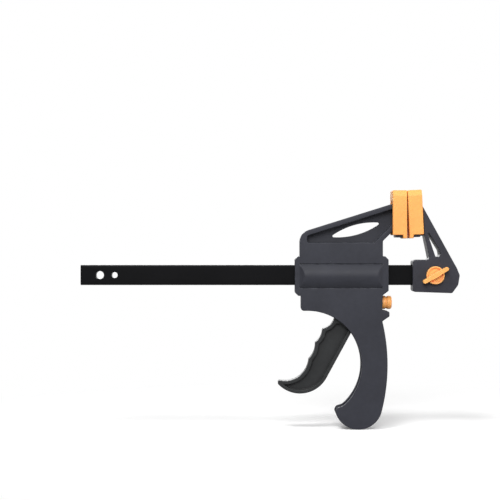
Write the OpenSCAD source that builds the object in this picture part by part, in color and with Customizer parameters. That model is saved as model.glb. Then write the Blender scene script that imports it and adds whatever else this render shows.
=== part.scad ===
// Quick release bar clamp for one hand, jaws closed.
// X runs along the bar from its free end to the fixed jaw, Z is up, and the front faces -Y.
// The origin is the centre of the hole in the bar's free end.

/* [Bar] */
// Length of the bar
bar_length = 223.2; // [180:1:420]
// Height of the bar
bar_height = 12; // [11:0.5:14]
// Thickness of the bar
bar_thickness = 5; // [4:0.5:6]
// Bevel along the bar's long edges
bar_bevel = 0.8; // [0.3:0.1:1.2]
// Radius of the pin hole near each end
pin_hole_r = 2.4; // [2:0.1:3]
// Distance from the bar's end to the pin hole
pin_hole_inset = 11.6; // [9:0.1:13]
// Radius of the smaller hole beside the pin hole
small_hole_r = 1.8; // [1:0.1:2.2]
// Distance between the two holes of an end
hole_pitch = 8.8; // [7:0.1:11]

/* [Housing] */
// Length of the collar that the bar runs through
collar_length = 55.8; // [54:0.2:64]
// Height of the collar
collar_height = 20.6; // [20:0.1:24]
// Bevel at the collar's corners
collar_bevel = 2; // [1:0.1:3]
// Step from the collar's left end in to the head
head_step_left = 2.9; // [2:0.1:4]
// Step from the collar's right end in to the head
head_step_right = 3.4; // [3:0.1:4]
// Step from the collar's left end in to the lower body
lower_step_left = 3.6; // [2:0.1:5]
// Height of the head's corner over the bar's middle, before the arm's top edge starts to rise
nose_height = 25.3; // [23:0.1:28]
// Radius of the nose
nose_r = 7.5; // [4:0.1:9]
// Distance from the bar's middle down to the lower body's edge
lower_depth = 21.2; // [20.5:0.1:24]
// Radius of the lower body's left corner
lower_r = 1.8; // [1:0.1:3]
// Half of the housing's thickness at its flat faces
shell_half = 8; // [7.6:0.1:10]
// Thickness of the moulded walls
wall = 1.8; // [1.4:0.1:2.2]
// Half width of the pocket for the works
pocket_half = 6; // [5.8:0.05:6.2]
// Thickness of the left end wall
end_wall = 5; // [4:0.1:6]
// Radius of the barrel over the spring
barrel_r = 10.3; // [10.2:0.05:11]
// Half height of the barrel, whose long edges lie under the flat faces
barrel_half = 7.3; // [7:0.05:7.6]
// Length of the sloped end of the barrel
barrel_hip = 2.8; // [1.5:0.1:4]
// Drop of the barrel's middle under the bar's middle
barrel_drop = 0.5; // [0:0.05:0.7]

/* [Arm and grip] */
// Distance from the collar's right end to the moving jaw's clamping face
arm_overhang = 10.8; // [10.4:0.1:14]
// Rise of the arm's top edge, in degrees
arm_rise = 17.4; // [12:0.2:20]
// Height over the bar's middle where the arm's underside leaves the head
arm_root = 20.4; // [18:0.1:22]
// Width of the arm's rim, seen from the front
rim = 3; // [2:0.1:3.6]
// Half thickness of the arm's web
web_half = 1.75; // [1.2:0.05:3]
// Length of the lens-shaped hole in the web
lens_length = 31.6; // [22:0.2:32]
// Width of the lens-shaped hole
lens_width = 5.9; // [3:0.1:6.4]
// Radius of the lens-shaped hole's two tips
lens_tip_r = 0.7; // [0.3:0.1:1.2]
// Radius of the hollow between grip and body
arch_r = 32.3; // [31:0.1:33]
// Depth of the hollow's centre under the bar
arch_depth = 53.5; // [53:0.1:55]
// Width of the grip at the hollow's middle, short of its bulge
grip_width = 12.6; // [11:0.1:14]
// Radius of the grip's long back
back_r = 111; // [90:1:160]
// Bulge of the grip's back past the head's right edge
back_bulge = 2.8; // [1.5:0.1:4]
// Radius of the grip's butt
butt_r = 14.3; // [13.5:0.1:15]
// Depth of the butt's centre under the bar
butt_depth = 77.6; // [76.5:0.1:79]
// Radius of the tip of the hook under the trigger
hook_r = 3; // [2.4:0.1:3.4]
// Angle from the hollow's centre down to the hook's tip, in degrees
hook_angle = 54.8; // [52:0.2:57]
// Width of the ledge under the button
ledge_w = 3.9; // [2:0.1:5]
// Height of the ledge
ledge_h = 5; // [4:0.1:7]

/* [Trigger] */
// Distance from the bar's middle down to the trigger's pivot
pivot_depth = 17.5; // [17:0.1:18.5]
// Distance from the head's right edge back to the pivot
pivot_back = 22; // [21:0.1:22.4]
// Radius of the pivot pin
pivot_pin_r = 2; // [1.5:0.05:2.4]
// Radius of the trigger's boss round the pin
pivot_boss_r = 4; // [3.6:0.1:4.2]
// Drop from the pivot to the trigger's lowest point
trigger_drop = 54.6; // [50:0.2:56]
// Reach from the pivot to the trigger's tip
trigger_reach = 40.6; // [34:0.2:44]
// Half thickness of the trigger
trigger_half = 4.5; // [4:0.1:4.9]
// Width of the trigger's rim
trigger_rim = 2.1; // [1.4:0.1:2.6]
// Half thickness of the trigger's web
trigger_web_half = 1.5; // [1:0.1:2.5]
// Height of the drive nose over the pivot
nose_lift = 7.1; // [6.9:0.1:7.4]
// Radius of the drive nose
drive_nose_r = 1.6; // [1.2:0.1:1.7]
// Full squeeze of the trigger, in degrees
squeeze = 24; // [10:1:24]

/* [Drive and brake] */
// Thickness of each drive plate
drive_plate_t = 2.4; // [1.6:0.1:2.6]
// Half width of the drive and brake plates
plate_half = 5.6; // [5:0.05:5.7]
// Height of the plates over the bar's middle
plate_top = 8.2; // [7.4:0.1:8.4]
// Drop of the drive plates under the bar's middle
drive_plate_drop = 12.8; // [12:0.1:13]
// Thickness of the brake plate
brake_plate_t = 2.4; // [1.8:0.1:2.6]
// Height of the brake plate's rocking edge over the bar's middle
brake_pivot = 9.6; // [9.2:0.1:10]
// Length of the brake plate under its rocking edge
brake_drop = 27.6; // [26.6:0.1:28.4]
// Lean of the brake plate at rest, in degrees
brake_lean = 6; // [4:0.25:6.5]
// Inner radius of both springs
spring_inner_r = 6.8; // [6.7:0.05:7]
// Wire diameter of the drive spring
drive_wire = 1.2; // [0.8:0.05:1.3]
// Distance between the turns of the drive spring
drive_pitch = 2.2; // [1.8:0.1:3]
// Wire diameter of the brake spring
brake_wire = 1; // [0.7:0.05:1.2]
// Distance between the turns of the brake spring
brake_pitch = 1.8; // [1.5:0.1:2.6]
// Thickness of the wall between the two springs
partition_t = 1.8; // [1.2:0.1:2.2]

/* [Button] */
// Radius of the release button
button_r = 4; // [3.2:0.05:4.1]
// Distance from the bar's middle down to the button
button_depth = 16.4; // [16:0.1:16.8]
// Length of the button outside the wall
button_out = 5.8; // [4.5:0.1:7]
// Radius of the button's inner flange
flange_r = 5; // [4.7:0.05:5.2]
// Thickness of the flange
flange_t = 1.6; // [1.2:0.1:1.8]
// Depth of the groove round the button
button_groove = 0.45; // [0.2:0.05:0.8]
// Travel of the button
button_travel = 2.4; // [1.5:0.1:2.4]

/* [Fixed jaw] */
// Distance from the pin back to the fixed jaw's clamping face
jaw_set = 16.5; // [16.3:0.1:20]
// Distance from the pin back to the foot's left face
foot_left = 13.2; // [12:0.1:13.4]
// Distance from the pin on to the foot's right end
foot_right = 14.2; // [13.4:0.1:18]
// Height of the foot's top over the bar's middle
foot_top = 9.2; // [8.6:0.1:10]
// Depth of the foot's lower edge under the bar's middle
foot_bottom = 10.3; // [9.4:0.1:12]
// Radius of the foot's left corners
foot_r = 1.5; // [0.8:0.1:2.5]
// Half thickness of the fixed jaw
jaw_half = 8; // [7.6:0.1:9]
// Width of the front strut
strut_front = 3; // [2.2:0.1:3.4]
// Width of the back strut
strut_back = 4.1; // [3:0.1:4.6]
// Radius where the front strut runs into the foot
strut_r = 1.5; // [1:0.5:5]
// Lean of the fixed jaw's face, in degrees
toe_in = 2.5; // [0.5:0.25:3]

/* [Knob] */
// Radius of the knob's disc
knob_r = 5.3; // [4.6:0.1:6]
// Thickness of the knob's disc
knob_t = 3; // [2.4:0.1:4]
// Length of the wing
wing_length = 17.2; // [14:0.1:20]
// Thickness of the wing
wing_t = 2.4; // [1.8:0.1:3]
// Height of the wing over the disc
wing_h = 2.2; // [1:0.1:3]
// Angle of the wing when locked, in degrees
wing_angle = 30; // [0:1:45]
// Reach of the bayonet lugs from the pin's axis
lug_reach = 4.2; // [3.4:0.1:4.4]
// Thickness of the bayonet lugs
lug_t = 1.6; // [1.2:0.1:1.8]
// Width of the bayonet lugs
lug_w = 2.4; // [1.6:0.1:2.8]

/* [Pads] */
// Thickness of the pad over the clamping side
pad_face = 2.4; // [1.8:0.1:3]
// Thickness of the pad's side and top walls
pad_wall = 1.7; // [1.2:0.1:2.2]
// Thickness of the lips behind the jaw plate
pad_lip = 1.8; // [1.4:0.1:2.2]
// Half width of the jaw plates inside the pads
jaw_plate_half = 8.6; // [8.2:0.1:9.6]
// Thickness of the jaw plates
jaw_plate_t = 4.2; // [3.6:0.1:4.6]
// Height of the pads' top over the bar's middle
pad_top = 50.6; // [48:0.1:54]
// Height of the pads' lower edge over the bar's middle
pad_foot = 23.9; // [22.6:0.1:25]
// Drop of the clamping face under the pad's lower edge
pad_skirt = 2; // [0.5:0.1:3]
// Height of the bevel at the pads' top
pad_bevel = 3.2; // [1:0.1:4]
// Half width of the arm where it passes between the lips
neck_half = 5.4; // [4:0.1:6]

/* [Screws] */
// Radius of the screw's shank
screw_r = 1.4; // [1:0.05:1.6]
// Radius of the screw's head
screw_head_r = 2.6; // [2:0.05:2.8]
// Thickness of the screw's head
screw_head_t = 1.8; // [1.2:0.1:2.2]
// Wall round a screw
screw_wall = 1.7; // [1.2:0.1:1.9]
// Width across the flats of the screw's hexagon socket
screw_socket = 2; // [1.2:0.1:2.4]

/* [Fits] */
// Clearance round the bar where it slides
slide_gap = 0.2; // [0.1:0.05:0.4]
// Clearance between moulded pieces that move past each other
move_gap = 0.3; // [0.2:0.05:0.4]
// Running clearance of pins in their bores
run_gap = 0.06; // [0.02:0.01:0.1]
// Clearance of pieces that sit on one another
seat_gap = 0.1; // [0.05:0.01:0.2]
// Space between the two pads at the closest point
closed_gap = 0.3; // [0.2:0.05:0.5]

/* [Hidden] */
$fn = 64;
over = 1;
corner_steps = 8;
SCREWS = ["screw_head_left", "screw_head_right", "screw_body", "screw_grip", "screw_butt"];

// Places along the bar, from its free end's hole
bar_start = -pin_hole_inset;
pin_x = bar_length - 2 * pin_hole_inset;
fixed_face_x = pin_x - jaw_set;
moving_face_x = fixed_face_x - closed_gap;
housing_x = moving_face_x - arm_overhang - collar_length;

// Places in the housing, from the collar's left end
head_left = head_step_left;
head_right = collar_length - head_step_right;
lower_left = lower_step_left;
face_x = collar_length + arm_overhang;
inner_right = head_right - wall;
pivot_x = head_right - pivot_back;
drive_nose_dx = 0.55 * drive_nose_r;
drive_face_x = pivot_x + drive_nose_dx - drive_nose_r - seat_gap;
drive_travel = nose_lift * squeeze * PI / 180;
pocket_left = drive_face_x - 2 * drive_plate_t - drive_travel - 2 * move_gap;
partition_x = pivot_x + nose_lift * sin(brake_lean) + drive_nose_r + drive_nose_dx + seat_gap;
spring_mean_r = spring_inner_r + drive_wire / 2;
bore_r = spring_inner_r + drive_wire + move_gap + seat_gap;
button_inner_x = inner_right - seat_gap - flange_t;
brake_x = button_inner_x - move_gap - brake_drop * sin(brake_lean) - brake_plate_t * cos(brake_lean) / 2;
brake_pocket_x = brake_x - button_travel * 0.5 - brake_plate_t * 0.6;
bar_hole_h = bar_height + 2 * slide_gap + brake_plate_t * tan(brake_lean);
bar_gap_half = bar_thickness / 2 + slide_gap;

// Heights of the jaw plates and of the arm where it meets them
plate_foot = pad_foot - pad_skirt + seat_gap * 6;
plate_head = pad_top - pad_wall - seat_gap;
plate_back_x = face_x - pad_face - jaw_plate_t;
lip_x = plate_back_x - pad_lip;
jaw_plate_x = pad_face - jaw_set;
arm_top_right = nose_height + (lip_x - head_left) * tan(arm_rise);
arm_low_right = arm_root + lip_x - head_right;

// Centres that the grip's arcs are drawn from
arch_centre = [head_right - grip_width - arch_r, -arch_depth];
grip_left = max(arch_centre[0], lower_left + lower_r);
back_centre = [head_right + back_bulge - back_r, -arch_depth];
back_low = asin((butt_depth - arch_depth) / (back_r - butt_r));
butt_centre = [back_centre[0] + (back_r - butt_r) * cos(back_low), -butt_depth];
hook_centre = arch_centre + (arch_r + 0.6 * hook_r) * [cos(hook_angle), -sin(hook_angle)];

// Depths of the knob's seat and of its pin's front end
knob_seat = -jaw_half - seat_gap;
pin_front = knob_seat - knob_t * 0.6;

// Screws, placed in the housing
screw_in = screw_r + screw_wall + wall;
SCREW_AT = [
    [head_left + screw_in, collar_height / 2 + screw_in],
    [head_right - screw_in, collar_height / 2 + screw_in],
    [lower_left + screw_in, -lower_depth + screw_in],
    [head_right + back_bulge - wall - screw_r - screw_wall, -arch_depth],
    [butt_centre[0] + hook_r, -butt_depth - hook_r]
];

// Points of an arc round the middle c from angle a to angle b
function arc(c, r, a, b, n = 24) = [for (i = [0:n]) c + r * [cos(a + (b - a) * i / n), sin(a + (b - a) * i / n)]];

// Unit vector from p to q
function toward(p, q) = (q - p) / norm(q - p);

// A corner q between p and s, rounded with radius r
function corner(p, q, s, r) = let (
    u = toward(q, p),
    v = toward(q, s),
    half = acos(u * v) / 2,
    middle = q + r / sin(half) * toward([0, 0], u + v),
    from = q + r / tan(half) * u - middle,
    to = q + r / tan(half) * v - middle,
    start = atan2(from[1], from[0]),
    turn = atan2(to[1], to[0]) - start,
    sweep = turn > 180 ? turn - 360 : turn < -180 ? turn + 360 : turn
) arc(middle, r, start, start + sweep, max(corner_steps, round(2 * r)));

// An outline from corners [x, z, radius], where a radius of 0 stays sharp
function outline(c) = let (n = len(c)) [
    for (i = [0:n - 1]) let (
        p = [c[(i + n - 1) % n][0], c[(i + n - 1) % n][1]],
        q = [c[i][0], c[i][1]],
        s = [c[(i + 1) % n][0], c[(i + 1) % n][1]]
    ) each (c[i][2] > 0 ? corner(p, q, s, c[i][2]) : [q])
];

// A flat shape drawn in x and z, made solid between two depths
module slab(from_y, to_y) {
    translate([0, to_y, 0])
        rotate([90, 0, 0])
            linear_extrude(to_y - from_y)
                children();
}

// A cylinder along X
module rod_x(x, r, length) {
    translate([x, 0, 0])
        rotate([0, 90, 0])
            cylinder(r = r, h = length);
}

// A cylinder along Y between two depths
module rod_y(p, r, from_y, to_y) {
    translate([p[0], to_y, p[1]])
        rotate([90, 0, 0])
            cylinder(r = r, h = to_y - from_y);
}

// A block between two corners
module block(a, b) {
    translate(a)
        cube(b - a);
}

// The circle that cuts a hollow of a given depth between two points
module scoop(a, b, depth) {
    half = norm(b - a) / 2;
    r = (half * half + depth * depth) / (2 * depth);
    out = [-toward(a, b)[1], toward(a, b)[0]];
    translate((a + b) / 2 - out * (r - depth))
        circle(r = r);
}

// A wire wound round the X axis
module coil(length, mean_r, wire, pitch, steps = 16, sides = 8) {
    turns = max(1, floor((length - wire) / pitch));
    n = turns * steps;
    wire_r = wire / 2;
    points = [
        for (i = [0:n], j = [0:sides - 1]) let (
            a = 360 * i / steps,
            b = 360 * j / sides,
            r = mean_r + wire_r * cos(b)
        ) [wire_r + (length - wire) * i / n + wire_r * sin(b), r * cos(a), r * sin(a)]
    ];
    skin = [
        for (i = [0:n - 1], j = [0:sides - 1]) let (
            a = i * sides + j,
            b = i * sides + (j + 1) % sides
        ) each [[a, a + sides, b], [b, a + sides, b + sides]]
    ];
    first = [for (j = [1:sides - 2]) [0, j, j + 1]];
    last = [for (j = [1:sides - 2]) [n * sides, n * sides + j + 1, n * sides + j]];
    echo(least_gap_between_turns = (length - wire) / turns - wire);
    polyhedron(points = points, faces = concat(skin, first, last), convexity = turns);
}

// The bar's section, with bevelled long edges
module bar_section() {
    h = bar_height / 2;
    t = bar_thickness / 2;
    polygon([
        [-h + bar_bevel, -t], [h - bar_bevel, -t], [h, -t + bar_bevel], [h, t - bar_bevel],
        [h - bar_bevel, t], [-h + bar_bevel, t], [-h, t - bar_bevel], [-h, -t + bar_bevel]
    ]);
}

// Flat steel bar with two holes at each end
module bar() {
    color("#26262c")
        difference() {
            translate([bar_start, 0, 0])
                rotate([0, 90, 0])
                    linear_extrude(bar_length)
                        bar_section();
            for (x = [0, pin_x])
                rod_y([x, 0], pin_hole_r, -bar_thickness, bar_thickness);
            for (x = [hole_pitch, pin_x - hole_pitch])
                rod_y([x, 0], small_hole_r, -bar_thickness, bar_thickness);
        }
}

// Front view of the collar
module collar_profile() {
    h = collar_height / 2;
    polygon([
        [0, -h], [collar_bevel, -h - collar_bevel], [collar_length - collar_bevel * 2, -h - collar_bevel],
        [collar_length, -h + collar_bevel / 2], [collar_length, h - collar_bevel / 2],
        [collar_length - collar_bevel, h + collar_bevel / 2], [collar_bevel, h + collar_bevel / 2],
        [0, h - collar_bevel / 2]
    ]);
}

// Front view of the head and the arm, up to the back of the jaw plate
module head_profile() {
    polygon(outline([
        [head_left, 0, 0],
        [head_right, 0, 0],
        [head_right, arm_root, seat_gap],
        [plate_back_x + seat_gap, arm_low_right + pad_lip, 0],
        [plate_back_x + seat_gap, arm_top_right + pad_lip * tan(arm_rise), 0],
        [head_left, nose_height, nose_r]
    ]));
}

// Front view of the lower body and the grip, without the ledge
module grip_profile() {
    back_top = asin((arch_depth - lower_depth - ledge_h) / back_r);
    offset(r = -2 * hook_r)
        offset(r = 2 * hook_r)
            union() {
                difference() {
                    union() {
                        polygon(concat(
                            [[grip_left, -collar_height / 2], [head_right, -collar_height / 2]],
                            arc(back_centre, back_r, back_top, -back_low),
                            [butt_centre, arch_centre]
                        ));
                        translate(butt_centre)
                            circle(r = butt_r);
                    }
                    translate(arch_centre)
                        circle(r = arch_r, $fn = 128);
                }
                translate(hook_centre)
                    circle(r = hook_r);
            }
    polygon(outline([
        [lower_left, 0, 0],
        [lower_left, -lower_depth, lower_r],
        [grip_left + lower_r, -lower_depth, 0],
        [grip_left + 2 * lower_r, -collar_height / 2, 0],
        [grip_left + 2 * lower_r, 0, 0]
    ]));
}

// Front view of the ledge under the button
module ledge_profile() {
    polygon(outline([
        [head_right - ledge_w, -lower_depth + seat_gap, 0],
        [head_right, -lower_depth + seat_gap * 5, 0],
        [head_right + ledge_w, -lower_depth - ledge_h * 0.1, ledge_h * 0.22],
        [head_right + ledge_w, -lower_depth - ledge_h * 0.66, ledge_h * 0.2],
        [head_right, -lower_depth - ledge_h * 1.2, 0],
        [head_right - ledge_w, -lower_depth - ledge_h * 1.6, 0]
    ]));
}

// Front view of the whole housing, without the jaw plate
module housing_profile() {
    collar_profile();
    head_profile();
    grip_profile();
    ledge_profile();
}

// Recess that leaves the arm's web standing between its rims
module recess_profile() {
    slope = tan(arm_rise);
    top = nose_height - rim / cos(arm_rise);
    low = collar_height / 2 + rim * 3;
    left = head_left + rim * 1.45;
    diagonal = head_right - arm_root - rim * sqrt(2);
    polygon(outline([
        [left, low, rim / 2],
        [low + diagonal, low, rim / 4],
        [plate_back_x - pad_lip / 2, plate_back_x - pad_lip / 2 - diagonal, 0],
        [plate_back_x - pad_lip / 2, top + (plate_back_x - pad_lip / 2 - head_left) * slope, 0],
        [left, top + (left - head_left) * slope, rim / 2]
    ]));
}

// Lens-shaped hole in the web
module lens_profile() {
    middle = [lip_x - lens_length * 0.685, arm_root + lens_width * 1.13];
    half = lens_length / 2;
    r = (half * half + lens_width * lens_width / 4) / lens_width;
    translate(middle)
        rotate(arm_rise * 0.9)
            offset(r = lens_tip_r)
                offset(delta = -lens_tip_r)
                    intersection() {
                        translate([0, r - lens_width / 2])
                            circle(r = r, $fn = 180);
                        translate([0, lens_width / 2 - r])
                            circle(r = r, $fn = 180);
                    }
}

// Pocket that holds the trigger, the plates and the inside of the grip
module pocket_profile() {
    mouth_top = acos((pocket_left - arch_centre[0]) / arch_r);
    chamber_foot = button_depth + flange_r + move_gap;
    mouth_low = hook_angle + 2 * asin(hook_r / arch_r);
    difference() {
        union() {
            intersection() {
                offset(delta = -wall)
                    grip_profile();
                translate([pocket_left, -butt_depth - butt_r])
                    square([head_right, butt_depth + butt_r - bar_height / 2 - slide_gap * 6]);
            }
            intersection() {
                grip_profile();
                translate(arch_centre)
                    intersection() {
                        circle(r = arch_r + wall * 1.3, $fn = 128);
                        polygon(concat([[0, 0]], arc([0, 0], 2 * arch_r, -mouth_low, mouth_top)));
                    }
            }
            translate([pocket_left, -pivot_depth])
                square([partition_x - pocket_left, pivot_depth + plate_top + move_gap]);
            translate([brake_pocket_x, -chamber_foot])
                square([inner_right - brake_pocket_x, chamber_foot + brake_pivot + brake_plate_t * 0.8]);
        }
        for (i = [2:4])
            translate(SCREW_AT[i])
                circle(r = screw_r + screw_wall);
    }
}

// Barrel that bulges over the springs, sloped at both ends
module barrel() {
    bulge = barrel_r - shell_half;
    translate([0, 0, -barrel_drop])
        intersection() {
            rod_x(head_left, barrel_r, head_right - head_left);
            block([head_left, -barrel_r, -barrel_half], [head_right, 0, barrel_half]);
            translate([0, 0, -barrel_half])
                linear_extrude(2 * barrel_half)
                    polygon([
                        [head_left, 0], [head_left, -shell_half],
                        [head_left + 2 * barrel_hip, -shell_half - 2 * bulge],
                        [head_right - 2 * barrel_hip, -shell_half - 2 * bulge],
                        [head_right, -shell_half], [head_right, 0]
                    ]);
        }
}

// Sunk bed that the barrel rises from
module barrel_bed() {
    edge_depth = sqrt(barrel_r * barrel_r - barrel_half * barrel_half);
    translate([0, 0, -barrel_drop])
        block([head_left, -shell_half - over, -barrel_half], [head_right, slide_gap * 2 - edge_depth, barrel_half]);
}

// One half of the housing, drawn on the front side of the parting plane
module shell_half_solid() {
    difference() {
        union() {
            difference() {
                slab(-shell_half, 0)
                    housing_profile();
                barrel_bed();
            }
            barrel();
            block([plate_back_x, -jaw_plate_half, plate_foot], [plate_back_x + jaw_plate_t, 0, plate_head]);
        }
        slab(-shell_half - over, -web_half)
            recess_profile();
        slab(-shell_half - over, over)
            lens_profile();
        block(
            [lip_x - seat_gap * 3, -shell_half - over, arm_root],
            [plate_back_x, -neck_half, plate_head]
        );
        block([-over, -bar_gap_half, -bar_height / 2 - slide_gap],
            [collar_length + over, over, bar_height / 2 + slide_gap]);
        intersection() {
            rod_x(end_wall, bore_r, partition_x - end_wall);
            block([0, -bore_r, -bore_r], [collar_length, over, bore_r]);
        }
        intersection() {
            rod_x(partition_x + partition_t, bore_r, brake_x - partition_x - partition_t);
            block([0, -bore_r, -bore_r], [collar_length, over, bore_r]);
        }
        slab(-pocket_half, -trigger_half - move_gap)
            difference() {
                pocket_profile();
                translate([pivot_x, -pivot_depth])
                    circle(r = pivot_boss_r);
            }
        slab(-trigger_half - move_gap, over)
            pocket_profile();
        rod_y([pivot_x, -pivot_depth], pivot_pin_r + run_gap, -pocket_half - wall / 2, over);
        translate([0, 0, -button_depth])
            rod_x(inner_right - over, button_r + move_gap / 2, head_step_right + wall + over);
    }
}

// Front half of the housing, with blind bores for the screws
module front_shell() {
    color("#45454c")
        translate([housing_x, 0, 0])
            difference() {
                shell_half_solid();
                for (p = SCREW_AT)
                    rod_y(p, screw_r + run_gap, -pocket_half, over);
            }
}

// Rear half of the housing, with counterbores for the screw heads
module rear_shell() {
    color("#3f3f46")
        translate([housing_x, 0, 0])
            difference() {
                mirror([0, 1, 0])
                    shell_half_solid();
                for (p = SCREW_AT) {
                    rod_y(p, screw_r + seat_gap, -over, shell_half + over);
                    rod_y(p, screw_head_r + seat_gap, shell_half - screw_head_t - seat_gap, shell_half + over);
                }
            }
}

// A screw with a hexagon socket, driven from the rear
module housing_screw(p) {
    color("#8c8f94")
        translate([housing_x, 0, 0])
            difference() {
                union() {
                    rod_y(p, screw_r, -pocket_half + seat_gap, shell_half - screw_head_t);
                    rod_y(p, screw_head_r, shell_half - screw_head_t, shell_half);
                }
                translate([p[0], shell_half + over, p[1]])
                    rotate([90, 0, 0])
                        cylinder(d = screw_socket / cos(30), h = screw_head_t * 0.7 + over, $fn = 6);
            }
}

// Outline shares of the trigger, from the pivot, of its reach and its drop
cusp_shares = [
    [-0.165, -0.147], [-0.345, -0.265], [-0.45, -0.415], [-0.545, -0.595], [-0.965, -0.832]
];
cusp_depth_shares = [0.037, 0.031, 0.03, 0.12];
tip_share = [-1.02, -0.85];
heel_share = [-0.61, -1.25];
back_share = [0.135, -0.235];
hilt_share = [0.105, -0.02];

// A place on the trigger from its shares
function on_trigger(s) = [s[0] * trigger_reach, s[1] * trigger_drop];

// Front view of the trigger's blade with its finger hollows
module blade_profile() {
    offset(r = trigger_rim / 2)
        offset(r = -trigger_rim / 2)
            difference() {
                polygon(outline([
                    [-pivot_boss_r, 0, 0],
                    concat(on_trigger(cusp_shares[0]), 0),
                    concat(on_trigger(cusp_shares[1]), trigger_rim / 2),
                    concat(on_trigger(cusp_shares[2]), trigger_rim / 2),
                    concat(on_trigger(cusp_shares[3]), trigger_rim / 2),
                    concat(on_trigger(tip_share), trigger_rim),
                    concat(on_trigger(heel_share), trigger_drop * 0.33),
                    concat(on_trigger(back_share), trigger_rim),
                    concat(on_trigger(hilt_share), 0)
                ]));
                for (i = [0:3])
                    scoop(on_trigger(cusp_shares[i]), on_trigger(cusp_shares[i + 1]),
                        cusp_depth_shares[i] * trigger_reach);
            }
}

// Trigger with a raised rim, a boss for the pin and the nose that drives the plates
module trigger() {
    color("#3c3c40")
        translate([housing_x + pivot_x, 0, -pivot_depth])
            difference() {
                union() {
                    difference() {
                        slab(-trigger_half, trigger_half)
                            blade_profile();
                        for (side = [-1, 1])
                            slab(
                                side > 0 ? trigger_web_half : -trigger_half - over,
                                side > 0 ? trigger_half + over : -trigger_web_half
                            )
                                intersection() {
                                    offset(delta = -trigger_rim)
                                        blade_profile();
                                    translate([-trigger_reach * 2, -trigger_drop * 2])
                                        square([trigger_reach * 4, trigger_drop * 1.79]);
                                }
                    }
                    rod_y([0, 0], pivot_boss_r, -trigger_half, trigger_half);
                    slab(-trigger_half, trigger_half)
                        hull() {
                            translate([drive_nose_dx, nose_lift])
                                circle(r = drive_nose_r, $fn = 32);
                            translate([drive_nose_dx, 0])
                                circle(r = drive_nose_r, $fn = 32);
                        }
                }
                rod_y([0, 0], pivot_pin_r + run_gap, -trigger_half - over, trigger_half + over);
            }
}

// Steel pin that the trigger turns on
module trigger_pin() {
    color("#a4a8ad")
        translate([housing_x, 0, 0])
            rod_y([pivot_x, -pivot_depth], pivot_pin_r, -pocket_half - wall / 2 + seat_gap,
                pocket_half + wall / 2 - seat_gap);
}

// Drive plate, the first or the second from the trigger's nose
module drive_plate(place) {
    right = drive_face_x - place * drive_plate_t;
    color(place == 0 ? "#9a9da1" : "#8b8e92")
        translate([housing_x, 0, 0])
            difference() {
                block([right - drive_plate_t, -plate_half, -drive_plate_drop], [right, plate_half, plate_top]);
                block([right - drive_plate_t - over, -bar_gap_half, -bar_height / 2 - slide_gap],
                    [right + over, bar_gap_half, bar_height / 2 + slide_gap]);
            }
}

// Coil spring that returns the drive plates and the trigger
module drive_spring() {
    left = end_wall + seat_gap;
    right = drive_face_x - 2 * drive_plate_t - seat_gap;
    color("#b5b8bc")
        translate([housing_x + left, 0, 0])
            coil(right - left, spring_mean_r, drive_wire, drive_pitch);
}

// Brake plate that leans on the bar and locks it
module brake_plate() {
    middle = brake_pivot / cos(brake_lean);
    color("#9a9da1")
        translate([housing_x + brake_x, 0, brake_pivot])
            rotate([0, -brake_lean, 0])
                difference() {
                    block([-brake_plate_t / 2, -plate_half, -brake_drop],
                        [brake_plate_t / 2, plate_half, brake_plate_t / 2]);
                    block([-brake_plate_t, -bar_gap_half, -middle - bar_hole_h / 2],
                        [brake_plate_t, bar_gap_half, -middle + bar_hole_h / 2]);
                }
}

// Coil spring that pushes the brake plate over
module brake_spring() {
    left = partition_x + partition_t + seat_gap;
    right = brake_x - brake_plate_t / 2 / cos(brake_lean) - seat_gap
        + (brake_pivot - spring_mean_r - drive_wire) * tan(brake_lean);
    color("#b5b8bc")
        translate([housing_x + left, 0, 0])
            coil(right - left, spring_inner_r + brake_wire / 2, brake_wire, brake_pitch);
}

// Round button with a groove, pressed to free the brake plate
module release_button() {
    dome = button_r * 0.12;
    tip = head_right + button_out;
    groove = head_right + button_out * 0.3;
    color("#ff963c")
        translate([housing_x, 0, -button_depth])
            rotate([0, 90, 0])
                rotate_extrude()
                    polygon([
                        [0, button_inner_x], [flange_r, button_inner_x], [flange_r, inner_right - seat_gap],
                        [button_r, inner_right - seat_gap], [button_r, groove],
                        [button_r - button_groove, groove + button_groove / 2],
                        [button_r - button_groove, groove + button_groove * 2],
                        [button_r, groove + button_groove * 2.5], [button_r, tip - dome * 2],
                        [button_r - dome, tip - dome / 2], [button_r * 0.5, tip - dome / 8], [0, tip]
                    ]);
}

// Front view of the fixed jaw's foot and struts, from the pin
module jaw_profile() {
    back_x = jaw_plate_x + jaw_plate_t - seat_gap;
    neck_top = plate_foot + (plate_head - plate_foot) * 0.66;
    polygon(outline([
        [-foot_left, foot_top, foot_r],
        [-foot_left, -foot_bottom + seat_gap * 4, foot_r],
        [foot_right * 0.72, -foot_bottom - seat_gap * 4, foot_r],
        [foot_right * 0.97, -foot_bottom * 0.57, foot_r * 2],
        [foot_right * 1.04, 0, foot_r * 2],
        [foot_right * 0.92, foot_top * 0.45, foot_r * 2],
        [back_x + pad_lip + strut_back * 0.1, neck_top + strut_back * 0.5, 0],
        [back_x, neck_top + strut_back * 0.5, 0],
        [back_x, plate_foot + seat_gap * 8, 0],
        [back_x + pad_lip * 2.1, plate_foot + seat_gap * 12, 0],
        [-foot_left * 0.24, foot_top, strut_r]
    ]));
}

// Front view of the fixed jaw's triangular window
module window_profile() {
    back_x = jaw_plate_x + jaw_plate_t + pad_lip;
    apex = [back_x + strut_back * 0.62, plate_foot + strut_front * 1.9];
    polygon(outline([
        concat(apex, strut_front * 0.15),
        [-foot_left * 0.24 + strut_front * 1.15, foot_top + strut_front * 0.6, strut_front * 0.3],
        [foot_right * 0.24, foot_top + strut_front * 0.6, strut_front * 0.45],
        [foot_right * 0.185, foot_top + strut_front * 1.9, strut_front * 0.2]
    ]));
}

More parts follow.
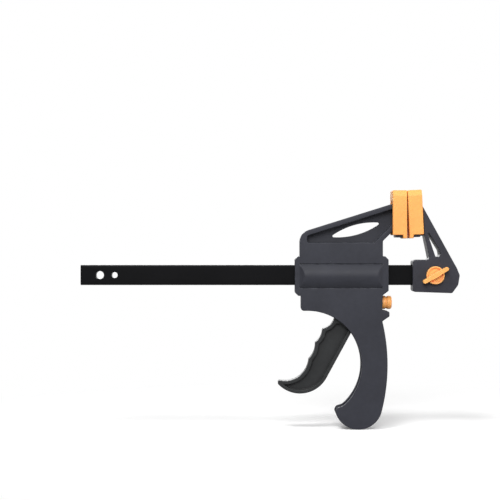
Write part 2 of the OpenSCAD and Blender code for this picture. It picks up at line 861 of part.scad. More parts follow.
// Jaw fixed to the end of the bar
module fixed_jaw() {
    wall_in = jaw_half - lug_t - move_gap * 2;
    color("#45454c")
        translate([pin_x, 0, 0])
            difference() {
                union() {
                    slab(-jaw_half, jaw_half)
                        jaw_profile();
                    lean_jaw()
                        block([jaw_plate_x, -jaw_plate_half, plate_foot],
                            [jaw_plate_x + jaw_plate_t, jaw_plate_half, plate_head]);
                }
                slab(-jaw_half - over, jaw_half + over)
                    window_profile();
                for (side = [-1, 1])
                    lean_jaw()
                        block(
                            [jaw_plate_x + jaw_plate_t, side > 0 ? neck_half : -jaw_half - over, plate_foot - over * 3],
                            [jaw_plate_x + jaw_plate_t + pad_lip + seat_gap * 3,
                                side > 0 ? jaw_half + over : -neck_half, plate_head]
                        );
                block([-foot_left - over, -bar_gap_half, -bar_height / 2 - slide_gap],
                    [pin_hole_inset + slide_gap, bar_gap_half, bar_height / 2 + slide_gap]);
                rod_y([0, 0], pin_hole_r, -jaw_half - over, jaw_half + over);
                rod_y([0, 0], lug_reach + move_gap * 2, wall_in, jaw_half + over);
                rotate([0, -90, 0])
                    block([-lug_reach - move_gap, 0, -lug_w / 2 - move_gap],
                        [lug_reach + move_gap, jaw_half + over, lug_w / 2 + move_gap]);
            }
}

// Tilts what belongs to the fixed jaw's face about its top edge
module lean_jaw() {
    translate([-jaw_set, 0, pad_top])
        rotate([0, -toe_in, 0])
            translate([jaw_set, 0, -pad_top])
                children();
}

// Winged knob moulded on the pin
module knob_head() {
    seat = knob_seat;
    dish = knob_r * 0.62;
    color("#ffa14e")
        translate([pin_x, 0, 0])
            difference() {
                union() {
                    rod_y([0, 0], knob_r, seat - knob_t, seat);
                    rotate([0, -wing_angle, 0]) {
                        block([-wing_length / 2 + wing_t / 2, seat - knob_t - wing_h, -wing_t / 2],
                            [wing_length / 2 - wing_t / 2, seat - knob_t / 4, wing_t / 2]);
                        for (side = [-1, 1])
                            rod_y([side * (wing_length - wing_t) / 2, 0], wing_t / 2, seat - knob_t - wing_h,
                                seat - knob_t / 4);
                        block([-knob_r * 0.55, seat - knob_t - wing_h, -wing_t * 0.62],
                            [knob_r * 0.55, seat - knob_t / 2, wing_t * 0.62]);
                    }
                }
                rotate([0, -wing_angle, 0])
                    for (side = [-1, 1])
                        intersection() {
                            rod_y([0, 0], knob_r - wing_t / 3, seat - knob_t - over, seat - knob_t + knob_t / 4);
                            block([-knob_r, seat - knob_t - over, side > 0 ? wing_t * 0.62 : -knob_r],
                                [knob_r, seat - knob_t + knob_t / 4, side > 0 ? knob_r : -wing_t * 0.62]);
                        }
                rod_y([0, 0], pin_hole_r - run_gap, pin_front, 0);
            }
}

// Steel pin with bayonet lugs behind the jaw
module knob_pin() {
    lug_y = jaw_half - lug_t - move_gap;
    color("#a4a8ad")
        translate([pin_x, 0, 0]) {
            rod_y([0, 0], pin_hole_r - run_gap, pin_front, jaw_half - move_gap + seat_gap);
            rotate([0, -wing_angle, 0])
                block([-lug_reach, lug_y, -lug_w / 2], [lug_reach, lug_y + lug_t, lug_w / 2]);
        }
}

// Soft cap over a jaw plate, its clamping side at x = 0 and its body towards -x
module pad() {
    side = jaw_plate_half + seat_gap + pad_wall;
    back = -pad_face - jaw_plate_t - pad_lip - seat_gap;
    slot_top = arm_top_right + pad_lip * 0.8;
    difference() {
        union() {
            rotate([90, 0, -90])
                linear_extrude(-back)
                    polygon([
                        [-side, pad_foot], [side, pad_foot], [side, pad_top - pad_bevel],
                        [side - pad_bevel * 0.6, pad_top], [pad_bevel * 0.6 - side, pad_top],
                        [-side, pad_top - pad_bevel]
                    ]);
            block([-pad_face, -side, pad_foot - pad_skirt], [0, side, pad_foot + over]);
        }
        block([-pad_face - jaw_plate_t - seat_gap, -jaw_plate_half - seat_gap, pad_foot - over],
            [-pad_face, jaw_plate_half + seat_gap, plate_head + seat_gap]);
        block([back - over, -neck_half - move_gap, pad_foot - over],
            [-pad_face - jaw_plate_t, neck_half + move_gap, slot_top]);
    }
}

// Pad of the moving jaw
module moving_pad() {
    color("#ffb055")
        translate([moving_face_x, 0, 0])
            pad();
}

// Pad of the fixed jaw
module fixed_pad() {
    color("#ffb055")
        translate([pin_x, 0, 0])
            lean_jaw()
                translate([-jaw_set, 0, 0])
                    mirror([1, 0, 0])
                        pad();
}

bar();
front_shell();
rear_shell();
trigger();
trigger_pin();
drive_plate(1);  // drive_plate_left
drive_plate(0);  // drive_plate_right
drive_spring();
brake_plate();
brake_spring();
release_button();
fixed_jaw();
knob_head();
knob_pin();
moving_pad();
fixed_pad();
for (i = [0:len(SCREWS) - 1])
    housing_screw(SCREW_AT[i]);
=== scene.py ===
"""Looks of a quick release bar clamp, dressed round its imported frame.

Everything is in metres, in the frame's own axes: X runs along the bar towards the fixed jaw, Z is up,
and the front of the clamp faces -Y. The origin is the hole at the bar's free end.
"""

import logging
import math
from collections.abc import Sequence
from dataclasses import dataclass
from enum import Enum
from typing import ClassVar

import bmesh
import bpy
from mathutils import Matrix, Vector


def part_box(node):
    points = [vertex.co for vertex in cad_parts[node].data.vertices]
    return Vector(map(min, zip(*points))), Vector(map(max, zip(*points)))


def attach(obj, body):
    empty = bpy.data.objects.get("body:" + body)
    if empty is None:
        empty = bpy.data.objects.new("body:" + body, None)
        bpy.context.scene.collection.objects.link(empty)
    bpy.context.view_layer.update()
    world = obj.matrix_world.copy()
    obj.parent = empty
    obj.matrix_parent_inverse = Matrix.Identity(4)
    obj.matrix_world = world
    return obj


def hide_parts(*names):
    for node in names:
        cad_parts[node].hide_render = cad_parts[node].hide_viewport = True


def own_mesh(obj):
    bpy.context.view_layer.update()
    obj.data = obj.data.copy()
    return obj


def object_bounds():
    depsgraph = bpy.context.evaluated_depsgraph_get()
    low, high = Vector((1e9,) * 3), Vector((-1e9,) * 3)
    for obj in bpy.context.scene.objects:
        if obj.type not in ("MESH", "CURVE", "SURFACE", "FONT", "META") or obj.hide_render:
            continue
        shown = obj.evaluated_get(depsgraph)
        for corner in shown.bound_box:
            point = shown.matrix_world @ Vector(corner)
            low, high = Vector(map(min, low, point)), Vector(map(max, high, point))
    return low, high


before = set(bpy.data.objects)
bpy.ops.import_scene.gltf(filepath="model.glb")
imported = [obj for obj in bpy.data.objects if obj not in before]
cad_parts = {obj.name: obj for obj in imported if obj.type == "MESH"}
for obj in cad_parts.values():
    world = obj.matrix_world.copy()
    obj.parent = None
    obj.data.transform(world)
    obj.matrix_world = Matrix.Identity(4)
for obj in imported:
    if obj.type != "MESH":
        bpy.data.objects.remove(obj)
CAD_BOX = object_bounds()

MM = 0.001
LOG = logging.getLogger("clamp")

Triple = tuple[float, float, float]
Colour = Triple
Pair = tuple[float, float]
Socket = bpy.types.NodeSocket
Value = float | Sequence[float] | Socket
Face = bmesh.types.BMFace

WHITE: Colour = (1.0, 1.0, 1.0)
# Share of each channel that is left in the painted shade in the corners of the orange pieces
PAINTED_SHADE_ORANGE: Triple = (0.92, 0.2, 0.06)

# Values between which most of a noise lies, and its middle part
MOST: Pair = (0.3, 0.7)
MIDDLE: Pair = (0.35, 0.65)
# Rays sent out to find edges and corners
RAYS = 6
# Cosine of the angle between the flat and the rounded normal, from no wear to full wear
WEAR_BEND: Pair = (0.995, 0.86)
# Values of the noise that breaks up the wear, from none to full
WEAR_BREAK: Pair = (0.36, 0.62)
# Open share of the surroundings, from no painted shade to full painted shade in the corners
PAINTED_SHADE_OPEN: Pair = (0.9, 0.45)

# Cosine over which neighbouring faces count as one flat face
FLAT = 0.99999
# Angle in degrees under which the triangles of one face melt together
MELT_ANGLE = 1.0
# Corners that make a single flat face worth filling anew
MANY_CORNERS = 5
# How much large faces outweigh small ones in the shading
SHADING_WEIGHT = 90


class Body(Enum):
    """The rigid bodies that pieces ride on."""

    HOUSING = "housing"
    BAR = "bar"
    KNOB = "knob"
    TRIGGER = "trigger"
    DRIVE = "drive_plates"
    BRAKE = "brake_plate"
    BUTTON = "release_button"


def tone(red: int, green: int, blue: int) -> Colour:
    """Turn a screen colour into a linear one.

    Args:
        red: Red from 0 to 255.
        green: Green from 0 to 255.
        blue: Blue from 0 to 255.

    Returns:
        The linear colour.
    """
    def straighten(value: float) -> float:
        """Undo the screen's curve for one channel from 0 to 1."""
        return value / 12.92 if value <= 0.04045 else ((value + 0.055) / 1.055) ** 2.4

    return tuple(straighten(channel / 255) for channel in (red, green, blue))


class Graph:
    """The nodes of a material or of the world, with short calls that add and join them."""

    def __init__(self, owner: bpy.types.Material | bpy.types.World) -> None:
        """Start with no nodes.

        Args:
            owner: The material or world that the nodes belong to.
        """
        owner.use_nodes = True
        self.owner = owner
        self.tree = owner.node_tree
        self.tree.nodes.clear()

    def add(self, kind: str, inputs: dict[str | int, Value] | None = None,
            **settings: str | int) -> bpy.types.Node:
        """Add a node.

        Args:
            kind: The node's type.
            inputs: Values or outputs for its inputs, by name or number.
            settings: The node's own properties.

        Returns:
            The new node.
        """
        node = self.tree.nodes.new(kind)
        for key, value in settings.items():
            setattr(node, key, value)
        for socket, value in (inputs or {}).items():
            self.feed(node.inputs[socket], value)
        return node

    def feed(self, socket: Socket, value: Value) -> None:
        """Give an input a value, or join it to another node's output.

        Args:
            socket: The input.
            value: A number, a colour, a vector or an output.
        """
        if isinstance(value, Socket):
            self.tree.links.new(value, socket)
        elif socket.type == "RGBA":
            socket.default_value = (*value[:3], 1)
        else:
            socket.default_value = value

    def place(self) -> Socket:
        """Return the piece's own coordinates, in metres."""
        return self.add("ShaderNodeTexCoord").outputs["Object"]

    def noise(self, place: Socket, size: float, detail: float = 3, stretch: Triple = (1, 1, 1),
              contrast: float = 0.5) -> Socket:
        """Add a noise whose patches have a real size.

        Args:
            place: Coordinates in metres.
            size: Size of a patch in metres.
            detail: How many finer layers it holds.
            stretch: How much longer a patch is along each axis.
            contrast: Strength of the finer layers.

        Returns:
            A value round 0.5.
        """
        scaled = self.add("ShaderNodeVectorMath", {0: place, 1: [1 / (size * s) for s in stretch]},
                          operation="MULTIPLY")
        noise = self.add("ShaderNodeTexNoise", {
            "Vector": scaled.outputs[0], "Scale": 1.0, "Detail": detail, "Roughness": contrast,
        })
        return noise.outputs["Fac"]

    def span(self, value: Socket, low: float, high: float, to_low: float = 0, to_high: float = 1) -> Socket:
        """Carry the range from low to high over to another range.

        Args:
            value: What is carried over.
            low: Value that becomes to_low.
            high: Value that becomes to_high.
            to_low: First end of the result.
            to_high: Other end of the result.

        Returns:
            The new value, kept between its ends.
        """
        node = self.add("ShaderNodeMapRange", {
            "Value": value, "From Min": low, "From Max": high, "To Min": to_low, "To Max": to_high,
        })
        return node.outputs["Result"]

    def calc(self, operation: str, first: Value, second: Value = 0.0) -> Socket:
        """Work out an operation, by its name, on one or two numbers or outputs."""
        return self.add("ShaderNodeMath", {0: first, 1: second}, operation=operation).outputs[0]

    def mix(self, share: Value, first: Value, second: Value) -> Socket:
        """Mix two colours, of which the second shows by its share."""
        return self.add("ShaderNodeMix", {0: share, 6: first, 7: second}, data_type="RGBA").outputs[2]

    def edges(self, width: float, breakup: Socket) -> Socket:
        """Find the outer edges that hands and work rub, where the plastics also get a painted highlight.

        Args:
            width: How far from an edge the wear reaches, in metres.
            breakup: A noise that makes the wear uneven.

        Returns:
            A value of 1 on a worn edge and 0 away from it.
        """
        smooth = self.add("ShaderNodeBevel", {"Radius": width}, samples=RAYS)
        flat = self.add("ShaderNodeNewGeometry").outputs["True Normal"]
        dot = self.add("ShaderNodeVectorMath", {0: smooth.outputs[0], 1: flat}, operation="DOT_PRODUCT")
        bend = self.span(dot.outputs["Value"], *WEAR_BEND)
        return self.calc("MULTIPLY", bend, self.span(breakup, *WEAR_BREAK))

    def creases(self, reach: float) -> Socket:
        """Give 1 deep in an inner corner, where painted shade goes, and 0 beyond its reach in metres."""
        around = self.add("ShaderNodeAmbientOcclusion", {"Distance": reach}, samples=RAYS, only_local=True)
        return self.span(around.outputs["AO"], *PAINTED_SHADE_OPEN)

    def bump(self, height: Socket, depth: float) -> Socket:
        """Bend the normal by a height from 0 to 1 that is really this deep, in metres."""
        node = self.add("ShaderNodeBump", {"Height": height, "Distance": depth, "Strength": 1.0})
        return node.outputs["Normal"]

    def seen(self) -> Socket:
        """Tell the rays that show a background from those that only light the clamp.

        Returns:
            A value of 1 for rays from the camera, reflections and glass.
        """
        path = self.add("ShaderNodeLightPath")
        value = path.outputs["Is Camera Ray"]
        for name in ("Is Glossy Ray", "Is Transmission Ray"):
            value = self.calc("MAXIMUM", value, path.outputs[name])
        return value

    def layer(self, share: Socket, first: bpy.types.Node, second: bpy.types.Node) -> bpy.types.Node:
        """Mix two shaders, of which the second shows by its share."""
        return self.add("ShaderNodeMixShader", {0: share, 1: first.outputs[0], 2: second.outputs[0]})

    def close(self, kind: str, shader: bpy.types.Node) -> None:
        """Send a shader to the surface of an output of this kind."""
        self.add(kind, {"Surface": shader.outputs[0]})

    def finish(self, **sockets: Value) -> bpy.types.Material:
        """Close a material with its surface shader.

        Args:
            sockets: Values or outputs for the shader, with _ for a space.

        Returns:
            The finished material.
        """
        named = {key.replace("_", " "): value for key, value in sockets.items()}
        self.close("ShaderNodeOutputMaterial", self.add("ShaderNodeBsdfPrincipled", named))
        return self.owner


@dataclass(frozen=True)
class MouldedPlastic:
    """Textured moulded plastic, paler and smoother where its edges are rubbed, with a painted highlight along
    those edges and painted shade in its corners.
    """

    name: str
    colour: Colour
    # Paler colour on the outer edges: partly wear, partly a painted highlight along the rounded edges
    edge_wear_and_highlight: Colour
    roughness: float
    gloss: float
    uneven: float = 0.05
    grain: float = 0.45 * MM
    grain_contrast: float = 0.6
    grain_depth: float = 0.012 * MM
    mottle_grains: float = 6
    flow: float = 16 * MM
    flow_share: float = 0.6
    variation: float = 0.12
    edge: float = 0.55 * MM
    edge_grains: float = 9
    rub: float = 0.55
    polish: float = 0.12
    # Painted shade in the inner corners: its reach, its strength and the share of each channel that is left
    # there
    corner: float = 1.6 * MM
    shade: float = 0.6
    shade_share: Triple = (0.3, 0.3, 0.3)
    glow: float = 0.0
    glow_reach: float = 1.2 * MM

    def material(self) -> bpy.types.Material:
        """Build the material.

        Returns:
            The finished material.
        """
        graph = Graph(bpy.data.materials.new(self.name))
        place = graph.place()
        flow = graph.noise(place, self.flow, detail=2)
        mottle = graph.noise(place, self.grain * self.mottle_grains)
        grain = graph.noise(place, self.grain, detail=2, contrast=self.grain_contrast)
        pale = [min(1, c * (1 + self.variation)) for c in self.colour]
        deep = [c * (1 - self.variation) for c in self.colour]
        cloud = graph.calc("ADD", graph.calc("MULTIPLY", flow, self.flow_share),
                           graph.calc("MULTIPLY", mottle, 1 - self.flow_share))
        body = graph.mix(graph.span(cloud, *MIDDLE), deep, pale)
        # Painted shade: inner corners found by ambient occlusion get a darker, deeper colour
        painted_shade = graph.calc("MULTIPLY", graph.creases(self.corner), self.shade)
        body = graph.mix(painted_shade, body, [c * share for c, share in zip(self.colour, self.shade_share)])
        # Paler edges: partly wear, partly a painted highlight along the rounded edges
        worn = graph.edges(self.edge, graph.noise(place, self.grain * self.edge_grains))
        rough = graph.span(mottle, *MOST, self.roughness - self.uneven, self.roughness + self.uneven)
        return graph.finish(
            Base_Color=graph.mix(graph.calc("MULTIPLY", worn, self.rub), body, self.edge_wear_and_highlight),
            Roughness=graph.calc("SUBTRACT", rough, graph.calc("MULTIPLY", worn, self.polish)),
            Normal=graph.bump(grain, self.grain_depth),
            Specular_IOR_Level=self.gloss,
            Subsurface_Weight=self.glow,
            Subsurface_Scale=self.glow_reach,
        )


@dataclass(frozen=True)
class BlackenedSteel:
    """Flat bar stock with a black finish, drawn lengthwise, bright where its edges are rubbed."""

    name: str
    colour: Colour
    bare: Colour
    roughness: float = 0.36
    gloss: float = 0.3
    uneven: float = 0.05
    streak: float = 0.25 * MM
    streak_stretch: Triple = (60, 1, 1)
    streak_depth: float = 0.004 * MM
    patch: float = 9 * MM
    patch_stretch: Triple = (3, 1, 1)
    patch_tone: float = 0.8
    patch_rough: float = 0.03
    edge: float = 0.35 * MM
    chip: float = 2.5 * MM
    chip_stretch: Triple = (4, 1, 1)
    rub: float = 0.35

    def material(self) -> bpy.types.Material:
        """Build the material.

        Returns:
            The finished material.
        """
        graph = Graph(bpy.data.materials.new(self.name))
        place = graph.place()
        streaks = graph.noise(place, self.streak, stretch=self.streak_stretch)
        patches = graph.noise(place, self.patch, stretch=self.patch_stretch)
        worn = graph.edges(self.edge, graph.noise(place, self.chip, detail=4, stretch=self.chip_stretch))
        dull = [c * self.patch_tone for c in self.colour]
        body = graph.mix(graph.span(patches, *MIDDLE), dull, self.colour)
        drawn = graph.span(streaks, *MOST, self.roughness - self.uneven, self.roughness + self.uneven)
        blotched = graph.span(patches, *MOST, -self.patch_rough, self.patch_rough)
        return graph.finish(
            Base_Color=graph.mix(graph.calc("MULTIPLY", worn, self.rub), body, self.bare),
            Roughness=graph.calc("ADD", drawn, blotched),
            Normal=graph.bump(streaks, self.streak_depth),
            Specular_IOR_Level=self.gloss,
        )


class Lay(Enum):
    """The way in which a steel piece is ground, as stretches of its marks."""

    ALONG_Z = (1, 1, 30)
    EVEN = (1, 1, 1)


@dataclass(frozen=True)
class GroundSteel:
    """Bare or plated steel with grinding marks."""

    name: str
    colour: Colour
    stained: Colour
    roughness: float
    lay: Lay = Lay.EVEN
    uneven: float = 0.08
    mark: float = 0.18 * MM
    mark_depth: float = 0.003 * MM
    stain: float = 3 * MM
    stain_tone: Pair = (0.45, 0.7)
    stain_blur: Pair = (0.4, 0.7)
    stain_rough: float = 0.08

    def material(self) -> bpy.types.Material:
        """Build the material.

        Returns:
            The finished material.
        """
        graph = Graph(bpy.data.materials.new(self.name))
        place = graph.place()
        marks = graph.noise(place, self.mark, stretch=self.lay.value)
        stain = graph.noise(place, self.stain, detail=4)
        ground = graph.span(marks, *MOST, self.roughness - self.uneven, self.roughness + self.uneven)
        return graph.finish(
            Base_Color=graph.mix(graph.span(stain, *self.stain_tone), self.colour, self.stained),
            Metallic=1.0,
            Roughness=graph.calc("ADD", ground, graph.span(stain, *self.stain_blur, 0, self.stain_rough)),
            Normal=graph.bump(marks, self.mark_depth),
        )


Finish = MouldedPlastic | BlackenedSteel | GroundSteel
FINISHES: dict[str, Finish] = {finish.name: finish for finish in (
    MouldedPlastic("shell_nylon", tone(49, 50, 57), edge_wear_and_highlight=tone(104, 105, 112), roughness=0.46, gloss=0.16),
    MouldedPlastic("jaw_nylon", tone(50, 50, 57), edge_wear_and_highlight=tone(104, 105, 112), roughness=0.46, gloss=0.16),
    MouldedPlastic("trigger_nylon", tone(43, 44, 45), edge_wear_and_highlight=tone(98, 98, 98), roughness=0.44, gloss=0.16,
                   corner=2.2 * MM, shade=0.8),
    MouldedPlastic("pad_orange", tone(255, 174, 94), edge_wear_and_highlight=tone(255, 190, 122), roughness=0.55, gloss=0.3,
                   grain=0.6 * MM, variation=0.05, corner=2.2 * MM, shade=0.7, shade_share=PAINTED_SHADE_ORANGE,
                   glow=0.08),
    MouldedPlastic("knob_orange", tone(255, 178, 96), edge_wear_and_highlight=tone(255, 204, 140), roughness=0.42, gloss=0.4,
                   variation=0.05, corner=1.2 * MM, shade=0.7, shade_share=PAINTED_SHADE_ORANGE, glow=0.05),
    MouldedPlastic("button_orange", tone(255, 176, 98), edge_wear_and_highlight=tone(255, 196, 130), roughness=0.4, gloss=0.4,
                   variation=0.05, corner=1.2 * MM, shade=0.5, shade_share=PAINTED_SHADE_ORANGE, glow=0.05),
    BlackenedSteel("bar_steel", tone(11, 11, 13), bare=tone(84, 84, 90), gloss=0.06),
    GroundSteel("pin_steel", tone(190, 192, 196), stained=tone(150, 150, 152), roughness=0.26),
    GroundSteel("plate_steel", tone(160, 162, 168), stained=tone(110, 108, 108), roughness=0.34,
                lay=Lay.ALONG_Z),
    GroundSteel("spring_wire", tone(176, 178, 184), stained=tone(130, 128, 126), roughness=0.3),
    GroundSteel("screw_steel", tone(150, 152, 156), stained=tone(96, 96, 98), roughness=0.36),
)}


def flat_patches(shape: bmesh.types.BMesh, strips: set[Face]) -> list[list[Face]]:
    """Group neighbouring faces that lie in one plane.

    Args:
        shape: The mesh.
        strips: Faces that are left out.

    Returns:
        The groups, each in the order in which its faces were met.
    """
    seen = set(strips)
    patches = []
    for start in shape.faces:
        if start in seen:
            continue
        seen.add(start)
        patch = [start]
        for face in patch:
            for edge in face.edges:
                for other in edge.link_faces:
                    if other not in seen and other.normal.dot(start.normal) > FLAT:
                        seen.add(other)
                        patch.append(other)
        patches.append(patch)
    return patches


def refill(shape: bmesh.types.BMesh, strips: set[Face]) -> None:
    """Fill the flat faces between rounded edges anew, so that rings and deep corners stay clean.

    Args:
        shape: The mesh with its rounded edges.
        strips: The faces of the roundings.
    """
    for patch in flat_patches(shape, strips):
        if len(patch) == 1 and len(patch[0].verts) < MANY_CORNERS:
            continue
        inside = set(patch)
        normal = patch[0].normal.copy()
        borders, inner = {}, {}
        for face in patch:
            for edge in face.edges:
                shared = sum(other in inside for other in edge.link_faces)
                (inner if shared > 1 else borders)[edge] = None
        bmesh.ops.delete(shape, geom=patch, context="FACES_ONLY")
        if inner:
            bmesh.ops.delete(shape, geom=list(inner), context="EDGES")
        bmesh.ops.triangle_fill(shape, edges=list(borders), use_beauty=True, normal=normal)


def placed(name: str, mesh: bpy.types.Mesh, shape: bmesh.types.BMesh) -> bpy.types.Object:
    """Put a worked shape into a mesh and stand it in the scene.

    Args:
        name: The new piece's name.
        mesh: The mesh that takes the shape.
        shape: The shape, which is used up.

    Returns:
        The new piece.
    """
    shape.to_mesh(mesh)
    shape.free()
    mesh.name = name
    piece = bpy.data.objects.new(name, mesh)
    bpy.context.scene.collection.objects.link(piece)
    return piece


def rounded(node: str, name: str, edge: float, rings: int = 2, weld: float = 0.04 * MM,
            crease: float = 28) -> bpy.types.Object:
    """Remake a node's mesh with its hard edges rounded.

    Args:
        node: The node whose shape is taken.
        name: The new piece's name.
        edge: Width of the rounding in metres.
        rings: Segments across the rounding.
        weld: Distance within which corners become one.
        crease: Angle in degrees over which an edge counts as hard.

    Returns:
        The new piece.
    """
    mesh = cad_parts[node].data.copy()
    mesh.materials.clear()
    shape = bmesh.new()
    shape.from_mesh(mesh)
    bmesh.ops.remove_doubles(shape, verts=shape.verts, dist=weld)
    bmesh.ops.dissolve_limit(shape, angle_limit=math.radians(MELT_ANGLE),
                             verts=shape.verts, edges=shape.edges)
    hard = [e for e in shape.edges if e.is_manifold and e.calc_face_angle(0) > math.radians(crease)]
    strips = bmesh.ops.bevel(shape, geom=hard, offset=edge, offset_type="OFFSET", segments=rings, profile=0.5,
                             affect="EDGES", clamp_overlap=False, loop_slide=True)["faces"]
    refill(shape, set(strips))
    for face in shape.faces:
        face.smooth = True
    piece = placed(name, mesh, shape)
    even = piece.modifiers.new("even_shading", "WEIGHTED_NORMAL")
    even.weight = SHADING_WEIGHT
    even.keep_sharp = False
    return piece


def swept(name: str, rings: list[list[Vector]]) -> bpy.types.Object:
    """Skin a row of closed rings into a tube with closed ends.

    Args:
        name: The new piece's name.
        rings: Rings of the same number of points.

    Returns:
        The new piece.
    """
    shape = bmesh.new()
    rows = [[shape.verts.new(point) for point in ring] for ring in rings]
    count = len(rings[0])
    for row, following in zip(rows, rows[1:]):
        for i in range(count):
            j = (i + 1) % count
            shape.faces.new((row[i], row[j], following[j], following[i]))
    shape.faces.new(reversed(rows[0]))
    shape.faces.new(rows[-1])
    bmesh.ops.recalc_face_normals(shape, faces=shape.faces)
    for face in shape.faces:
        face.smooth = len(face.verts) == 4
    return placed(name, bpy.data.meshes.new(name), shape)


class SubAssembly:
    """What every sub-assembly does with a finished piece."""

    materials: ClassVar[dict[str, bpy.types.Material]] = {}

    def coat(self, piece: bpy.types.Object, slot: str) -> None:
        """Give a piece one of the record's finishes, made the first time it is asked for.

        Args:
            piece: The piece.
            slot: The record's finish for it.
        """
        if slot not in self.materials:
            self.materials[slot] = FINISHES[slot].material()
        piece.data.materials.clear()
        piece.data.materials.append(self.materials[slot])

    def mount(self, piece: bpy.types.Object, body: Body, node: str, slot: str) -> None:
        """Dress a new piece, put it on its body and let it stand for its node.

        Args:
            piece: The new piece.
            body: The body that carries it.
            node: The node that it stands for.
            slot: The record's finish for it.
        """
        self.coat(piece, slot)
        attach(piece, body.value)
        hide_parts(node)
        LOG.info("%s rides on %s with %d faces", piece.name, body.value, len(piece.data.polygons))


@dataclass
class Bar(SubAssembly):
    """The steel bar with two holes near each end."""

    edge: float = 0.22 * MM

    def build(self) -> None:
        """Make the bar with broken edges."""
        self.mount(rounded("bar", "flat_bar", self.edge), Body.BAR, "bar", "bar_steel")


@dataclass
class Housing(SubAssembly):
    """The two moulded shells with their screws."""

    edge: float = 0.42 * MM
    weld: float = 0.12 * MM
    screw_edge: float = 0.18 * MM

    def build(self) -> None:
        """Make both shells and the screws that hold them."""
        for side in ("front", "rear"):
            shell = rounded(f"{side}_shell", f"{side}_half", self.edge, weld=self.weld)
            self.mount(shell, Body.HOUSING, f"{side}_shell", "shell_nylon")
        for spot in ("head_left", "head_right", "body", "grip", "butt"):
            screw = rounded(f"screw_{spot}", f"socket_screw_{spot}", self.screw_edge)
            self.mount(screw, Body.HOUSING, f"screw_{spot}", "screw_steel")


@dataclass(frozen=True)
class Coil:
    """A spring's wire, wound round the bar."""

    wire: float
    turns: int
    steps: int = 28
    sides: int = 12

    def wind(self, name: str, node: str) -> bpy.types.Object:
        """Wind the wire in the space of a node.

        Args:
            name: The new piece's name.
            node: The node whose space it fills.

        Returns:
            The wound spring.
        """
        low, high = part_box(node)
        mean = (high.z - low.z) / 2 - self.wire / 2
        start, length = low.x + self.wire / 2, high.x - low.x - self.wire
        rings = []
        for i in range(self.turns * self.steps + 1):
            share = i / (self.turns * self.steps)
            angle = 2 * math.pi * i / self.steps
            out = Vector((0, math.cos(angle), math.sin(angle)))
            middle = Vector((start + length * share, 0, 0)) + out * mean
            rings.append([
                middle + (out * math.cos(b) + Vector((1, 0, 0)) * math.sin(b)) * self.wire / 2
                for b in (2 * math.pi * k / self.sides for k in range(self.sides))
            ])
        return swept(name, rings)


@dataclass
class Works(SubAssembly):
    """The ratchet inside the housing: drive plates, brake plate, springs, pin and button."""

    drive_coil: Coil = Coil(wire=1.2 * MM, turns=8)
    brake_coil: Coil = Coil(wire=1.0 * MM, turns=4)
    drive_keep: float = 0.85
    brake_keep: float = 0.9
    plate_edge: float = 0.15 * MM
    button_edge: float = 0.3 * MM
    button_rings: int = 3
    button_crease: float = 40

    def build(self) -> None:
        """Make every piece of the works."""
        for side in ("left", "right"):
            plate = rounded(f"drive_plate_{side}", f"bite_plate_{side}", self.plate_edge)
            self.mount(plate, Body.DRIVE, f"drive_plate_{side}", "plate_steel")
        brake = rounded("brake_plate", "lock_plate", self.plate_edge)
        self.mount(brake, Body.BRAKE, "brake_plate", "plate_steel")
        pin = rounded("trigger_pin", "pivot_pin", self.plate_edge)
        self.mount(pin, Body.HOUSING, "trigger_pin", "pin_steel")
        button = rounded("release_button", "push_button", self.button_edge, self.button_rings,
                         crease=self.button_crease)
        self.mount(button, Body.BUTTON, "release_button", "button_orange")
        self.springs()

    def springs(self) -> None:
        """Wind both springs."""
        for name, coil, joint, keep in (
            ("drive_spring", self.drive_coil, "drive_plates_slide", self.drive_keep),
            ("brake_spring", self.brake_coil, "brake_plate_rock", self.brake_keep),
        ):
            spring = coil.wind(f"{name}_coil", name)
            self.mount(spring, Body.HOUSING, name, "spring_wire")
            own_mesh(spring)


@dataclass
class Trigger(SubAssembly):
    """The squeezed lever with its finger hollows and raised rim."""

    edge: float = 0.4 * MM
    rings: int = 3
    weld: float = 0.16 * MM

    def build(self) -> None:
        """Make the lever with a soft rim."""
        lever = rounded("trigger", "lever", self.edge, self.rings, weld=self.weld)
        self.mount(lever, Body.TRIGGER, "trigger", "trigger_nylon")


@dataclass
class FixedJaw(SubAssembly):
    """The jaw at the end of the bar with its winged knob."""

    edge: float = 0.45 * MM
    weld: float = 0.12 * MM
    knob_edge: float = 0.13 * MM
    pin_edge: float = 0.15 * MM

    def build(self) -> None:
        """Make the jaw, the knob and the knob's pin."""
        jaw = rounded("fixed_jaw", "end_jaw", self.edge, weld=self.weld)
        self.mount(jaw, Body.BAR, "fixed_jaw", "jaw_nylon")
        knob = rounded("knob_head", "winged_knob", self.knob_edge)
        self.mount(knob, Body.KNOB, "knob_head", "knob_orange")
        pin = rounded("knob_pin", "bayonet_pin", self.pin_edge)
        self.mount(pin, Body.KNOB, "knob_pin", "pin_steel")


@dataclass
class Pads(SubAssembly):
    """The two soft caps over the jaw plates."""

    edge: float = 0.55 * MM
    rings: int = 3

    def build(self) -> None:
        """Make both caps with soft edges."""
        for name, body in (("moving_pad", Body.HOUSING), ("fixed_pad", Body.BAR)):
            cap = rounded(name, f"{name}_cap", self.edge, self.rings)
            self.mount(cap, body, name, "pad_orange")


@dataclass(frozen=True)
class Lamp:
    """A soft square lamp."""

    name: str
    place: Triple
    size: float
    power: float

    def hang(self, target: Vector) -> None:
        """Hang the lamp and turn it to the clamp.

        Args:
            target: The point that it lights.
        """
        data = bpy.data.lights.new(self.name, "AREA")
        data.shape = "SQUARE"
        data.size = self.size
        data.energy = self.power
        lamp = bpy.data.objects.new(self.name, data)
        lamp.location = self.place
        lamp.rotation_euler = (target - Vector(self.place)).to_track_quat("-Z", "Y").to_euler()
        bpy.context.scene.collection.objects.link(lamp)


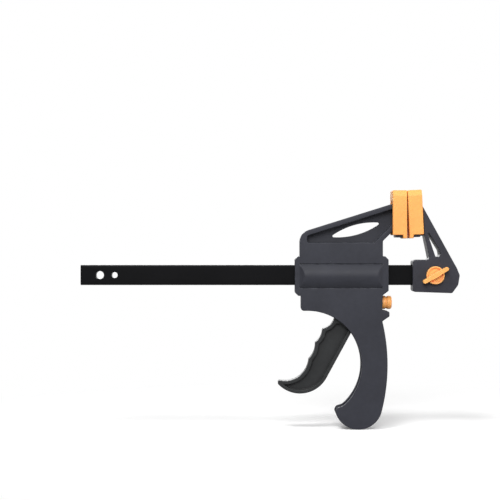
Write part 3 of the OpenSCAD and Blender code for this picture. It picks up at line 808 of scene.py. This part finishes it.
@dataclass
class Studio:
    """Floor, light and camera, none of which belongs to the clamp."""

    aim: Pair = (0.1018, 0.018)
    distance: float = 0.9
    lens: float = 108.0
    sensor: float = 36.0
    shift: Pair = (-0.04, -0.01)
    clip: Pair = (0.01, 20)
    ambient: float = 0.24
    shown: float = 1.0
    bounce: float = 0.25
    floor_size: float = 2.4
    floor_colour: float = 1.0
    floor_glow: float = 0.12
    fade_middle: float = 0.16
    fade: Pair = (0.1, 0.3)
    lamps: tuple[Lamp, ...] = (
        Lamp("overhead", (-0.1, -0.5, 0.85), size=0.3, power=5.0),
        Lamp("front", (0.05, -1.1, 0.5), size=0.5, power=9.0),
        Lamp("right", (0.95, -0.35, 0.35), size=0.5, power=3.0),
        Lamp("rear", (0.0, 1.2, 0.4), size=0.6, power=5.0),
    )

    def build(self) -> None:
        """Make the whole studio."""
        self.camera()
        self.world()
        self.floor()
        for lamp in self.lamps:
            lamp.hang(Vector((self.aim[0], 0, 0)))
        bpy.context.scene.view_settings.view_transform = "Standard"

    def camera(self) -> None:
        """Look at the clamp from where the photograph was taken."""
        data = bpy.data.cameras.new("camera")
        data.lens = self.lens
        data.sensor_width = self.sensor
        data.shift_x, data.shift_y = self.shift
        data.clip_start, data.clip_end = self.clip
        camera = bpy.data.objects.new("camera", data)
        camera.location = (self.aim[0], -self.distance, self.aim[1])
        camera.rotation_euler = (math.radians(90), 0, 0)
        bpy.context.scene.collection.objects.link(camera)
        bpy.context.scene.camera = camera

    def world(self) -> None:
        """Make a white surround that lights the clamp more softly than it looks."""
        world = bpy.data.worlds.new("surround")
        graph = Graph(world)
        light = graph.add("ShaderNodeBackground", {"Color": WHITE, "Strength": self.ambient})
        white = graph.add("ShaderNodeBackground", {"Color": WHITE, "Strength": self.shown})
        graph.close("ShaderNodeOutputWorld", graph.layer(graph.seen(), light, white))
        bpy.context.scene.world = world

    def floor(self) -> None:
        """Lay the floor under the grip's foot."""
        foot = CAD_BOX[0].z
        half = self.floor_size / 2
        mesh = bpy.data.meshes.new("floor")
        corners = [(x * half + self.aim[0], y * half, foot) for x, y in ((-1, -1), (1, -1), (1, 1), (-1, 1))]
        mesh.from_pydata(corners, [], [(0, 1, 2, 3)])
        floor = bpy.data.objects.new("floor", mesh)
        bpy.context.scene.collection.objects.link(floor)
        mesh.materials.append(self.floor_white(foot))

    def floor_white(self, foot: float) -> bpy.types.Material:
        """Make a pale floor that keeps the shadow, fades into the surround and is clear from below.

        Args:
            foot: Height of the floor.

        Returns:
            The floor's material.
        """
        graph = Graph(bpy.data.materials.new("floor_white"))
        lit = graph.add("ShaderNodeBsdfDiffuse", {"Color": [self.bounce] * 3})
        soft = graph.add("ShaderNodeBsdfDiffuse", {"Color": [self.floor_colour] * 3})
        glow = graph.add("ShaderNodeEmission", {"Color": WHITE, "Strength": self.floor_glow})
        near = graph.add("ShaderNodeAddShader", {0: soft.outputs[0], 1: glow.outputs[0]})
        plain = graph.add("ShaderNodeEmission", {"Color": WHITE, "Strength": self.shown})
        middle = (self.fade_middle, 0.0, foot)
        offset = graph.add("ShaderNodeVectorMath", {0: graph.place(), 1: middle}, operation="SUBTRACT")
        reach = graph.add("ShaderNodeVectorMath", {0: offset.outputs[0]}, operation="LENGTH")
        faded = graph.layer(graph.span(reach.outputs["Value"], *self.fade), near, plain)
        whole = graph.layer(graph.seen(), lit, faded)
        below = graph.add("ShaderNodeNewGeometry").outputs["Backfacing"]
        clear = graph.add("ShaderNodeBsdfTransparent")
        graph.close("ShaderNodeOutputMaterial", graph.layer(below, whole, clear))
        return graph.owner


def main() -> None:
    """Build and dress the clamp."""
    logging.basicConfig(level=logging.INFO, format="%(message)s")
    Studio().build()
    for part in (Bar(), Housing(), Works(), Trigger(), FixedJaw(), Pads()):
        part.build()
        LOG.info("%s is done", type(part).__name__)


if __name__ == "__main__":
    main()
